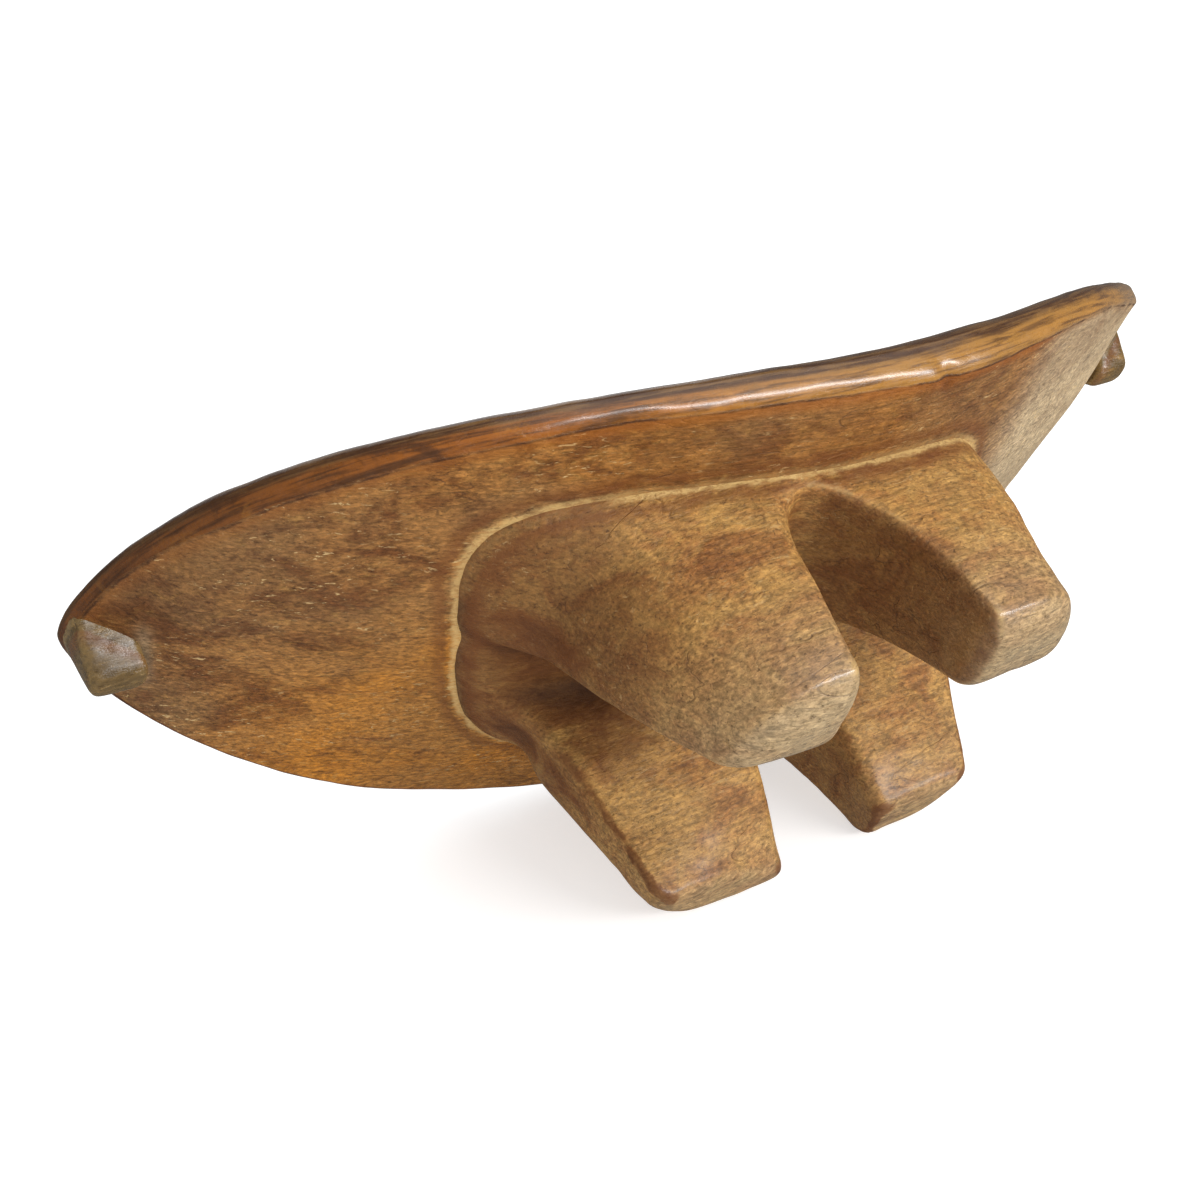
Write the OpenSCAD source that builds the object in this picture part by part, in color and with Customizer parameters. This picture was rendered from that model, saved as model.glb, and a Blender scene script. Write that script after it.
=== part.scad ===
// Carved wooden headrest: a long boat-shaped rest on four blade legs.
// Origin on the ground under the middle of the rest, X along it, Z up.
// The whole object is cut from one block of wood. Each node is one carved
// element, and neighbours meet face to face where the wood runs through.

/* [Rest] */
// Overall length of the rest
rest_len = 500; // [400:5:600]
// Overall width of the rest
rest_w = 236; // [200:1:280]
// Height of the rim at the middle of the rest
seat_h = 95; // [90:1:110]
// How much higher the two ends are than the middle
end_rise = 57; // [30:1:80]
// How blunt the ends are in plan
plan_pow = 3.0; // [2.4:0.1:3.6]
// How full the plan is between the middle and the ends
plan_full = 0.58; // [0.5:0.01:0.8]
// How late the ends begin to rise
rise_pow = 2.1; // [1.8:0.1:2.6]

/* [Rim and faces] */
// Height of the slanted rim band
rim_t = 8; // [6:0.5:12]
// How far the rim band leans inwards to its lower edge
rim_in = 12; // [4:0.5:16]
// Rounding of the rim's upper edge
rim_round = 3; // [2:0.5:5]
// Depth of the shallow dish in the top face
dish = 5; // [2:0.5:7]
// How far the underside swells below the rim
belly = 8; // [4:0.5:9]

/* [Leg block] */
// Height where the four legs leave the base
split_h = 60; // [54:1:64]
// Half length of the block at the soles
foot_a = 78; // [70:1:82]
// Half length of the block where the legs leave the base
block_a = 92; // [86:1:98]
// Half length of the block at its flared upper edge
flare_a = 114; // [106:1:122]
// Half width of the block at the soles
foot_b = 62; // [56:1:66]
// Half width of the block where the legs leave the base
block_b = 81; // [76:1:84]
// Half width of the block at its flared upper edge
flare_b = 89; // [84:1:94]
// How square the block is in plan
block_pow = 3.2; // [2.4:0.1:4]
// How far the block sits towards the left end
block_x = 11; // [0:1:16]
// How far the back legs stand to the right, for each unit of width
block_skew = 0.14; // [0:0.01:0.2]

/* [Cuts between the legs] */
// Half width of the lengthwise channel at the ground
channel_foot = 44; // [38:1:48]
// Half width of the lengthwise channel at the leg tops
channel_top = 22; // [16:1:26]
// Wood left above the lengthwise channel
channel_web = 6; // [4:0.5:8]
// Half width of the cross notch at the ground
notch_foot = 33; // [28:1:40]
// Height of the crown of the cross notch
notch_h = 70; // [67:0.5:71]
// Rounding of the inner corner of each leg
leg_round = 6; // [3:0.5:8]
// Height of the worn bevel round each sole
bevel_h = 7; // [4:0.5:10]
// Width of the worn bevel round each sole
bevel_w = 9; // [4:0.5:12]

/* [End lugs] */
// How far each lug hangs below the underside
lug_drop = 15; // [8:0.5:18]
// Length of a lug where it leaves the underside
lug_len = 20; // [14:0.5:22]
// Width of a lug where it leaves the underside
lug_w = 38; // [28:1:42]
// Distance from the end of the rest to the lug
lug_set = 3; // [3:0.5:12]
// How far the right lug sits to the front of the middle
lug_off = 12; // [0:1:14]

/* [Hidden] */

half = rest_len / 2;
dark_wood = [0.40, 0.25, 0.12];
pale_wood = [0.62, 0.45, 0.24];
mid_wood = [0.50, 0.36, 0.20];

// Stations along the rest crowd towards its ends, where the plan turns.
n_st = 44;
u_end = 0.9992;
function st(k) = u_end * sin(-90 + 180 * k / n_st);

// Plan half width, rim height and the heights of both faces.
function half_w(u) = rest_w / 2 * pow(1 - pow(abs(u), plan_pow), plan_full);
function rim_z(u) = seat_h + end_rise * pow(abs(u), rise_pow);
function lean(u) = min(rim_in, 0.4 * half_w(u));
function under_w(u) = half_w(u) - lean(u);
function under_z(u, y) =
    rim_z(u) - rim_t
    - belly * sqrt(half_w(u) / half_w(0)) * (1 - pow(y / under_w(u), 2));
function top_z(u, y, w) =
    rim_z(u) - dish * (half_w(u) / half_w(0)) * (1 - pow(y / w, 2));

// One cross-section of the rest, anticlockwise when seen from the +X end.
n_top = 10;
n_low = 14;
function rest_ring(u) =
    let (w = half_w(u), r = min(rim_round, 0.3 * w), wt = w - r, wl = under_w(u))
    concat(
        [for (i = [0:n_top]) let (y = wt * (1 - 2 * i / n_top))
            [u * half, y, top_z(u, y, wt)]],
        [[u * half, -w + 0.3 * r, rim_z(u) - 0.3 * rim_round],
            [u * half, -w, rim_z(u) - rim_round]],
        [for (i = [0:n_low]) let (y = wl * (-1 + 2 * i / n_low))
            [u * half, y, under_z(u, y)]],
        [[u * half, w, rim_z(u) - rim_round],
            [u * half, w - 0.3 * r, rim_z(u) - 0.3 * rim_round]]);

// Skins a stack of equal rings and closes both ends.
module skin(rings) {
    n = len(rings[0]);
    m = len(rings);
    mid_a = [for (c = [0:2]) [for (p = rings[0]) p[c]] * [for (p = rings[0]) 1 / n]];
    mid_b = [for (c = [0:2]) [for (p = rings[m - 1]) p[c]] * [for (p = rings[0]) 1 / n]];
    points = concat([for (ring = rings) each ring], [mid_a, mid_b]);
    sides = [for (j = [0:m - 2]) for (i = [0:n - 1])
        let (a = j * n + i, b = j * n + (i + 1) % n)
        each [[a, a + n, b], [b, a + n, b + n]]];
    ends = [for (i = [0:n - 1])
        each [[m * n, i, (i + 1) % n],
            [m * n + 1, (m - 1) * n + (i + 1) % n, (m - 1) * n + i]]];
    polyhedron(points = points, faces = concat(sides, ends), convexity = 6);
}

module headrest_top() {
    color(dark_wood)
        skin([for (k = [0:n_st]) rest_ring(st(k))]);
}

// All the space above the underside, over the block only.
k_lo = 12;
k_hi = n_st - 14;
module above_underside() {
    skin([for (k = [k_lo:k_hi]) let (u = st(k), wl = under_w(u))
        concat(
            [[u * half, wl, seat_h + 90], [u * half, -wl, seat_h + 90]],
            [for (i = [0:n_low]) let (y = wl * (-1 + 2 * i / n_low))
                [u * half, y, under_z(u, y)]])]);
}

// Plan outline of the block at any height, about its own middle.
flare_h = seat_h + 1;
neck_h = seat_h - 9;
blank_h = seat_h + 25;
function block_mid(z) =
    lookup(z, [[0, -block_x + 8], [neck_h, -block_x], [flare_h, -block_x - 6]]);
function block_half_l(z) =
    lookup(z, [[0, foot_a], [bevel_h, foot_a + bevel_w / 2], [split_h, block_a],
        [neck_h, block_a + 7], [flare_h, flare_a]]);
function block_half_w(z) =
    lookup(z, [[0, foot_b], [bevel_h, foot_b + bevel_w], [split_h, block_b],
        [neck_h, block_b + 4], [flare_h, flare_b]]);
function round_xy(a, b, phi) =
    [a * sign(cos(phi)) * pow(abs(cos(phi)), 2 / block_pow),
        b * sign(sin(phi)) * pow(abs(sin(phi)), 2 / block_pow)];

n_out = 72;
module block_blank() {
    skin([for (z = [split_h, neck_h - 8, neck_h, neck_h + 5, flare_h, blank_h])
        let (a = block_half_l(z), b = block_half_w(z))
        [for (i = [0:n_out - 1])
            let (p = round_xy(a, b, 360 * i / n_out))
            [p[0] + block_mid(z) + block_skew * p[1], p[1], z]]]);
}

// Inner faces of the legs, measured from the two cuts' middle planes.
function channel_w(z) = channel_foot + (channel_top - channel_foot) * z / split_h;
function notch_w(z) = notch_foot * pow(max(1 - pow(z / notch_h, 1.6), 0), 0.62);
function notch_mid(z) = block_mid(0) - 12 * pow(z / split_h, 1.5);

// The channel runs lengthwise under the rest and its crown follows the bow.
module channel() {
    skin([for (k = [6:2:n_st - 6])
        let (u = st(k), c = under_z(u, 0) - channel_web, w = channel_top)
        [[u * half, w + 2, split_h - 5], [u * half, w - 4, c - 6],
            [u * half, w - 11, c], [u * half, -w + 11, c],
            [u * half, -w + 4, c - 6], [u * half, -w - 2, split_h - 5]]]);
}

// The crown of the cross notch, above the leg tops, is a low rounded arch.
n_arch = 10;
module notch() {
    rise = [for (i = [0:n_arch]) split_h + (notch_h - split_h) * sin(90 * i / n_arch)];
    multmatrix([[1, block_skew, 0, 0], [0, 1, 0, 0], [0, 0, 1, 0]])
        rotate([90, 0, 0])
            linear_extrude(rest_w, center = true)
                polygon(concat(
                    [[notch_mid(split_h) - notch_w(split_h), split_h - 5]],
                    [for (z = rise) [notch_mid(z) - notch_w(z), z]],
                    [for (i = [n_arch - 1:-1:0])
                        let (z = rise[i]) [notch_mid(z) + notch_w(z), z]],
                    [[notch_mid(split_h) + notch_w(split_h), split_h - 5]]));
}

module leg_base() {
    color(mid_wood)
        difference() {
            block_blank();
            above_underside();
            channel();
            notch();
        }
}

// One leg: each level is the block's outline kept on one side of both cuts.
n_arc = 16;
function leg_ring(z, sx, sy) =
    let (a = block_half_l(z), b = block_half_w(z), mid = block_mid(z),
        wear = lookup(z, [[0, 2], [bevel_h / 2, 0]]),
        x0 = max(notch_w(z) + wear + sx * (notch_mid(z) - mid), 1),
        y0 = channel_w(z) + wear, r = leg_round,
        f0 = asin(pow(y0 / b, block_pow / 2)), f1 = acos(pow(x0 / a, block_pow / 2)))
    concat(
        [for (i = [0:n_arc]) let (p = round_xy(a, b, f0 + (f1 - f0) * i / n_arc))
            [mid + sx * p[0] + block_skew * sy * p[1], sy * p[1], z]],
        [for (i = [0:4])
            let (t = 180 + 90 * i / 4, x = x0 + r + r * cos(t), y = y0 + r + r * sin(t))
            [mid + sx * x + block_skew * sy * y, sy * y, z]]);

module leg(sx, sy) {
    levels = concat([0, 2, bevel_h], [for (i = [1:8]) bevel_h + (split_h - bevel_h) * i / 8]);
    rings = [for (z = levels) leg_ring(z, sx, sy)];
    turned = [for (ring = rings)
        sx * sy < 0 ? [for (i = [len(ring) - 1:-1:0]) ring[i]] : ring];
    color(pale_wood)
        skin(turned);
}

module leg_front_left() {
    leg(-1, -1);
}

module leg_front_right() {
    leg(1, -1);
}

module leg_back_left() {
    leg(-1, 1);
}

module leg_back_right() {
    leg(1, 1);
}

// A lug is a blunt wedge that grows out of the underside close to the end.
n_lug = 28;
function lug_ring(level, off) =
    let (sz = lookup(level, [[0, 0.42], [0.12, 0.55], [0.75, 0.9], [1, 1], [2, 1]]))
    [for (i = [0:n_lug - 1])
        let (p = round_xy(lug_len / 2 * (0.35 + 0.65 * sz), lug_w / 2 * sz, 360 * i / n_lug),
            x = half - lug_set - lug_len / 2 + p[0],
            y = p[1] * (1 - 0.28 * p[0] / (lug_len / 2)) - off,
            z = rim_z(x / half) - rim_t / 2
                - (level < 1.5 ? (1 - level) * lug_drop + rim_t / 2 : 0))
        [x, y, z]];
module lug(off) {
    color(mid_wood)
        difference() {
            skin([for (level = [0, 0.12, 0.75, 1, 2]) lug_ring(level, off)]);
            headrest_top();
        }
}

module lug_left() {
    mirror([1, 0, 0])
        lug(0);
}

module lug_right() {
    lug(lug_off);
}

headrest_top();
leg_base();
leg_front_left();
leg_front_right();
leg_back_left();
leg_back_right();
lug_left();
lug_right();
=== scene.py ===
import math

import bpy
import numpy as np
from mathutils import Matrix, Vector


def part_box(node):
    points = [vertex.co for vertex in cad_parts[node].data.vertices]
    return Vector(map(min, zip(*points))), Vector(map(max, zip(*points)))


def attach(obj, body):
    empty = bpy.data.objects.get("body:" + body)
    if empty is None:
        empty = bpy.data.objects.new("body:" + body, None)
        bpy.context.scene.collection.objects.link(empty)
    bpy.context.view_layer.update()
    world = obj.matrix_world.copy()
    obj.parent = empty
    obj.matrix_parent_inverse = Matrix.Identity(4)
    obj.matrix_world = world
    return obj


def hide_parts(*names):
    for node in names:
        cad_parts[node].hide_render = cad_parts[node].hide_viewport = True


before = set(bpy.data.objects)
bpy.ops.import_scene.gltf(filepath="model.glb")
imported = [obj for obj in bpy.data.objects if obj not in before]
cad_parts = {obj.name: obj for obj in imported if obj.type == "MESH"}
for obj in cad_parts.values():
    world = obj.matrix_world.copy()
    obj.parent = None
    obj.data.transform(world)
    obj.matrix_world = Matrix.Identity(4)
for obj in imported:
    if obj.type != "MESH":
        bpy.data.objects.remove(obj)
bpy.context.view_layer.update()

# ---------------------------------------------------------------- camera
# The object lies on its back rim and back feet, and the camera looks at the
# underside. In the shared frame the camera is then below and in front of it.
CAM_PLACE = Vector((-0.3540, -0.4181, -0.1548))
CAM_AIM = Vector((-0.0658, 0.0, 0.1020))
CAM_ROLL = 0.397                 # radians
CAM_LENS = 45.8                  # mm, on the sensor below
CAM_SENSOR = 36                  # mm

look = (CAM_AIM - CAM_PLACE).normalized()
side = look.cross(Vector((0, -1, 0))).normalized()
rise = side.cross(look)
right = math.cos(CAM_ROLL) * side + math.sin(CAM_ROLL) * rise
up = -math.sin(CAM_ROLL) * side + math.cos(CAM_ROLL) * rise
cam_data = bpy.data.cameras.new("camera")
cam_data.lens = CAM_LENS
cam_data.sensor_width = CAM_SENSOR
cam_data.clip_start = 0.01
cam_data.clip_end = 50
camera = bpy.data.objects.new("camera", cam_data)
bpy.context.scene.collection.objects.link(camera)
turn = Matrix((right, up, -look)).transposed()
camera.matrix_world = Matrix.Translation(CAM_PLACE) @ turn.to_4x4()
bpy.context.scene.camera = camera

# ---------------------------------------------------------------- shape of the rest, in mm
# The front is at -Y, the back at +Y, the left end at -X and the right end at +X.
MM = 0.001
rest_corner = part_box("headrest_top")[1]
HALF = rest_corner.x / MM        # half length of the rest
HALF_W = rest_corner.y / MM      # half width of the rest
SEAT_H = 95.0                    # rim height at the middle
END_RISE = rest_corner.z / MM - SEAT_H
RISE_POW = 2.1                   # how late the rise comes, from the middle to the ends
FRONT_LIFT = 0.8                 # the rim is this much higher along the front
BACK_LEFT_LIFT = 4.0             # and this much at the back left
PLAN_POW = 3.0                   # how blunt the outline's ends are
PLAN_FULL = 0.58                 # power of the outline; a smaller one is fuller
BACK_LEFT_FULL = 0.72            # the same where the outline is leaner, at the back left
BACK_RIGHT_FULLER = 0.09         # taken off the power at the back right
FRONT_TIP_FULLER = 0.11          # and at the front of the right tip
BACK_LEFT_SLIM = 0.03            # share of the width that is missing at the back left
SIDE_BLEND = 60.0                # width over which what holds at the front dies out
DISH = 6.0                       # depth of the dished top face
BELLY = 6.0                      # swell of the underside
CREASE_TIP = 4.0                 # inset of the rim's lower crease at the two ends
CREASE_IN = 5.0                  # and along the sides
# The rim band is a hand-cut chamfer, low at the ends and tallest in front of the legs.
BAND_TIP = 5.0
BAND_SIDE = 10.0
BAND_RUN = 45.0                  # length over which it grows from a tip
BAND_SWELL = 7.0
SWELL_X = 38.0
SWELL_RUN = 82.0
BACK_BAND = 0.45                 # height of the band at the back, as a share of the front's
BACK_BAND_MIN = 2.0              # plus this


def ease(t):
    """A smooth step from 0 to 1 as t goes from 0 to 1."""
    t = np.clip(t, 0, 1)
    return t * t * (3 - 2 * t)


def ramp(value, start, stop):
    """A smooth step from 0 where the value is start to 1 where it is stop."""
    return ease((value - start) / (stop - start))


def at_front(y):
    """1 in the front half and 0 in the back half, with a soft change between."""
    return ease(0.5 - y / SIDE_BLEND)


def leaner(x, y):
    """1 where the back left quarter is leaner than the rest of the outline."""
    return ramp(x, -10, -120) * ease(0.5 + y / SIDE_BLEND)


def plan_w(u, y_side, w0):
    """Half width of an outline at u, from -1 to 1 along it; y_side is the sign of y."""
    lean = leaner(u * HALF, y_side * 100)
    full = np.maximum(1 - np.abs(u) ** PLAN_POW, 0)
    power = PLAN_FULL + (BACK_LEFT_FULL - PLAN_FULL) * lean
    power = power - BACK_RIGHT_FULLER * ease(y_side * 2) * ease(u * 3)
    power = power - FRONT_TIP_FULLER * ease(-y_side * 2) * ramp(u, 0.70, 0.95)
    return w0 * (1 - BACK_LEFT_SLIM * lean) * full ** power


def rim_z(x, y):
    """Height of the rim, carried on over the whole plan."""
    front = FRONT_LIFT * at_front(y)
    return SEAT_H + front + END_RISE * np.abs(x / HALF) ** RISE_POW + BACK_LEFT_LIFT * leaner(x, y)


def front_band(x):
    swell = BAND_SWELL * np.exp(-((x - SWELL_X) / SWELL_RUN) ** 2)
    return BAND_TIP + (BAND_SIDE - BAND_TIP) * ease((HALF - np.abs(x)) / BAND_RUN) + swell


def band_h(x, y):
    """How far the lower crease of the rim band lies under the rim."""
    front, back = front_band(x), front_band(-x) * BACK_BAND + BACK_BAND_MIN
    return back + (front - back) * at_front(y)


def fill_of(x, y, inset_x, inset_y):
    """How full an inset outline is at x, and how far out across it the point is, from 0 to 1."""
    u = np.clip(x / (HALF - inset_x), -1, 1)
    width = np.maximum(plan_w(u, np.sign(y), HALF_W - inset_y), 0.01)
    full = np.maximum(1 - np.abs(u) ** PLAN_POW, 0) ** PLAN_FULL
    return full, np.clip(np.abs(y) / width, 0, 1)


def under_z(x, y):
    """Height of the underside inside its crease."""
    full, v = fill_of(x, y, CREASE_TIP, CREASE_IN)
    return rim_z(x, y) - band_h(x, y) - BELLY * full ** 1.5 * (1 - v * v) ** 2


def top_z(x, y, inset):
    """Height of the dished top face inside the rounded rim."""
    full, v = fill_of(x, y, inset, inset)
    return rim_z(x, y) - DISH * full * (1 - v * v)


# ---------------------------------------------------------------- noise and meshes
LATTICE = 32                     # the noise repeats after this many cells


def lattice_noise(p, cell, seed):
    """Smooth noise from -1 to 1 at the points p (n, 3), with cells of that size (one or three)."""
    table = np.random.default_rng(seed).uniform(-1, 1, (LATTICE,) * 3)
    q = p / np.asarray(cell, float)
    low = np.floor(q).astype(int)
    f = q - low
    f = f * f * (3 - 2 * f)
    total = np.zeros(len(p))
    for corner in range(8):
        step = np.array([corner & 1, corner >> 1 & 1, corner >> 2 & 1])
        weight = np.prod(np.where(step, f, 1 - f), axis=1)
        i, j, k = ((low + step) % LATTICE).T
        total += weight * table[i, j, k]
    return total


def tool_marks(p, layers):
    """Sum of layers of noise at the points p, each layer given as height, cell size and seed."""
    return sum(height * lattice_noise(p, cell, seed) for height, cell, seed in layers)


def vertex_normals(v, faces):
    """Area-weighted normals of a mesh of quads."""
    a, b, c, d = (v[faces[:, k]] for k in range(4))
    n = np.cross(c - a, d - b)
    out = np.zeros_like(v)
    for k in range(4):
        np.add.at(out, faces[:, k], n)
    return out / np.maximum(np.linalg.norm(out, axis=1, keepdims=True), 1e-12)


def side_pairs(faces):
    """The two ends of each side of each quad."""
    return np.concatenate([faces[:, [k, (k + 1) % 4]] for k in range(4)])


def links_of(faces, count):
    """The side pairs of a mesh, and how many of them meet at each of its vertices."""
    ends = side_pairs(faces)
    ends = ends[ends[:, 0] != ends[:, 1]]
    return ends, np.maximum(np.bincount(ends.ravel(), minlength=count), 1)


def neighbour_mean(values, ends, degree):
    """Mean of the neighbours' values at each vertex."""
    total = np.zeros_like(values)
    np.add.at(total, ends[:, 0], values[ends[:, 1]])
    np.add.at(total, ends[:, 1], values[ends[:, 0]])
    return (total.T / degree).T


def weld(v, faces):
    """Joins vertices that lie at the same place, and drops faces that collapse."""
    key = np.round(v * 1e4).astype(np.int64)
    _, first, index = np.unique(key, axis=0, return_index=True, return_inverse=True)
    faces = index.ravel()[faces]
    distinct = np.array([len(set(f)) >= 3 for f in faces.tolist()])
    return v[first], faces[distinct], first


def make_piece(name, v, faces, normals, marks, material, slot_name, node):
    """One closed piece from points in mm, with its shading normals and its marks (name: values)."""
    corners = [[a for k, a in enumerate(f) if a != f[k - 1]] for f in faces.tolist()]
    mesh = bpy.data.meshes.new(name)
    mesh.from_pydata((v * MM).tolist(), [], [f for f in corners if len(f) > 2])
    for mark, values in marks.items():
        layer = mesh.attributes.new(mark, "FLOAT", "POINT")
        layer.data.foreach_set("value", np.asarray(values, np.float32))
    mesh.polygons.foreach_set("use_smooth", [True] * len(mesh.polygons))
    mesh.normals_split_custom_set_from_vertices(normals.tolist())
    mesh.materials.append(material)
    mesh.update()
    piece = bpy.data.objects.new(name, mesh)
    bpy.context.scene.collection.objects.link(piece)
    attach(piece, "root")
    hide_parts(node)


# ---------------------------------------------------------------- the marks that the woods read
FAR = 60.0                       # a distance that no material reacts to


def edge_mark(v, faces, normals, rounds):
    """How sharply a mesh bulges at each point, in 1/mm: positive on edges, negative in hollows."""
    ends, degree = links_of(faces, len(v))
    length = np.linalg.norm(v[ends[:, 0]] - v[ends[:, 1]], axis=1)
    span = np.zeros(len(v))
    np.add.at(span, ends[:, 0], length ** 2)
    np.add.at(span, ends[:, 1], length ** 2)
    out = np.sum((v - neighbour_mean(v, ends, degree)) * normals, axis=1)
    bulge = out / np.maximum(span / degree, 1e-6) * 4
    for _ in range(rounds):
        bulge = 0.5 * bulge + 0.5 * neighbour_mean(bulge, ends, degree)
    return bulge


def base_marks(v, faces, normals, rounds):
    """Marks that every piece carries; lengths are in mm."""
    x, y, z = v.T
    to_left, down = -normals[:, 0], -normals[:, 2]
    back = ramp(y, 5, 20)
    left_low = 1 - 0.85 * ramp(z, 62, 32) * ramp(x, -30, -50)
    lower_leg = (0.50 - 0.36 * back) * ramp(z, 50, 5)
    return {
        "along_mm": x,
        "edge_mm": np.full(len(v), FAR),
        "crease_mm": np.full(len(v), FAR),
        "joint_mm": np.clip(under_z(x, y) - z, -10, FAR),
        "wear": edge_mark(v, faces, normals, rounds),
        "hollow": np.zeros(len(v)),
        # left-facing faces are darker: part stain, part painted shade on the side turned from the light
        "stain": ramp(to_left, 0.25, 0.80) * left_low * (1 - 0.5 * back),
        # lower legs are paler and greyer, part wear and part painted sheen; the soles are paler with
        # wear
        "faded": lower_leg + 0.5 * ease(down * 2 - 0.8) * ramp(z, 12, 4),
        "shine": (0.8 - 0.5 * back) * ramp(z, 22, 8),
        "golden": np.zeros(len(v)),
    }


# ---------------------------------------------------------------- the rest
N_ALONG = 330                    # places along each side of the rim
N_TOP = 34                       # rows of points from the spine to the rim
N_UNDER = 46                     # and from the crease to the spine
SPINE = 0.22                     # the spine line stops this far short of the ends
TIP_CROWD = 0.35                 # how much closer the places stand near the tips
TIP_SHIFT = 5.0                  # the left tip points this far to the back
OUTLINE_OUT = 0.1                # the outline stands a hair outside its half width
ROUND_SHARE = 0.36               # radius of the rim, as a share of the band's height
SLANT_SHARE = 0.37               # inset of the crease, as a share of the band's height
BULGE_SHARE = 0.07               # bulge of the band, as a share of its height
ROUND_STEPS = np.radians([15, 32, 50, 68, 84])
BAND_STEPS = [0.0, 0.08, 0.16, 0.26, 0.38, 0.5, 0.62, 0.74, 0.84, 0.92, 0.97]
EDGE_ROW = N_TOP + len(ROUND_STEPS) - 1
BAND_ROW = EDGE_ROW + 1
CREASE_ROW = BAND_ROW + len(BAND_STEPS)
# Tool marks: height in mm, cell size in mm and seed of each layer.
REST_RELIEF = [(0.55, (46, 30, 30), 3), (0.24, (17, 11, 11), 4), (0.10, (8, 4, 4), 5)]
CREASE_RELIEF = [(0.8, (34, 60, 60), 6), (0.5, (13, 30, 30), 7)]
CHIP_X = 31.0                    # a chip in the front crease
CHIP_DEPTH = 1.5
LEFT_LUG_FACE = -227.5           # where the left lug's inner face meets the underside
NO_RUST = 12.0                   # farther from the crease than its rust reaches


def tip_shift(x):
    """How far the left end is drawn to the back."""
    return TIP_SHIFT * ramp(x, -205, -250)


def rest_columns():
    """Profile points of the rest, one column for each place round its edge."""
    turn_by = np.linspace(0, 2 * np.pi, 2 * N_ALONG, endpoint=False)
    u = np.cos(turn_by)
    u = u - TIP_CROWD * u * (1 - u * u) * np.abs(u)
    sgn = np.sign(np.sin(turn_by))
    sgn[np.abs(np.sin(turn_by)) < 1e-9] = 0
    rows = []

    def edge(inset_x, inset_y):
        x = (HALF - inset_x) * u
        y = sgn * plan_w(u, sgn, HALF_W + OUTLINE_OUT - inset_y)
        return x, y

    xk, yk = edge(CREASE_TIP, CREASE_IN)
    band = band_h(xk, yk)
    round_r = ROUND_SHARE * band
    # the crease follows the band: a tall band is also a wide one
    xe, ye = edge(0.0, 0.0)
    share = np.clip(SLANT_SHARE * band / CREASE_IN, 0.5, 1.5)
    xk, yk = xe + (xk - xe) * share, ye + (yk - ye) * share
    x0, y0 = edge(round_r, round_r)
    for t in np.linspace(1, 0, N_TOP) ** 1.15:
        x, y = x0 * (1 - SPINE * t), y0 * (1 - t)
        rows.append(np.stack([x, y, top_z(x, y, round_r)], -1))
    for a in ROUND_STEPS:
        inset = round_r * (1 - math.sin(a))
        x, y = edge(inset, inset)
        rows.append(np.stack([x, y, rim_z(x, y) - round_r * (1 - math.cos(a))], -1))
    ze, zk = rim_z(xe, ye) - round_r, rim_z(xk, yk) - band
    for t in BAND_STEPS:
        bulge = BULGE_SHARE * band * math.sin(math.pi * t ** 1.3)
        x, y = xe + (xk - xe) * t, ye + (yk - ye) * t + sgn * bulge
        rows.append(np.stack([x, y, ze + (zk - ze) * t - 0.6 * bulge], -1))
    # two rows close under the crease keep it sharp
    for t in np.concatenate([[0.004, 0.012], np.linspace(0.02, 1, N_UNDER)]):
        x, y = xk * (1 - SPINE * t), yk * (1 - t)
        rows.append(np.stack([x, y, under_z(x, y)], -1))
    rows = np.array(rows)
    rows[..., 1] += tip_shift(rows[..., 0])
    return rows


def rest_mesh():
    """The smooth surface of the rest, with three measures of the rim at each vertex, in mm."""
    rows = rest_columns()
    m, n = rows.shape[:2]
    # distance from the outer edge and from the lower crease of the band, measured down the profile
    run = np.linalg.norm(np.diff(rows, axis=0), axis=2)
    run = np.vstack([np.zeros(n), np.cumsum(run, axis=0)])
    # distance along the rim from the left tip, both ways round
    hop = np.linalg.norm(np.diff(rows[BAND_ROW], axis=0), axis=1)
    along = np.concatenate([[0], np.cumsum(hop)])
    along = np.broadcast_to(np.abs(along - along[n // 2]), run.shape)
    i, j = np.meshgrid(np.arange(m - 1), np.arange(n), indexing="ij")
    j2 = (j + 1) % n
    faces = np.stack([i * n + j, (i + 1) * n + j, (i + 1) * n + j2, i * n + j2], -1)
    v, faces, first = weld(rows.reshape(-1, 3), faces.reshape(-1, 4))
    measures = [g.ravel()[first] for g in (run - run[EDGE_ROW], run - run[CREASE_ROW], along)]
    normals = vertex_normals(v, faces)
    if np.sum((v - v.mean(0)) * normals) < 0:
        faces = faces[:, ::-1]
    return v, faces, *measures


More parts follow.
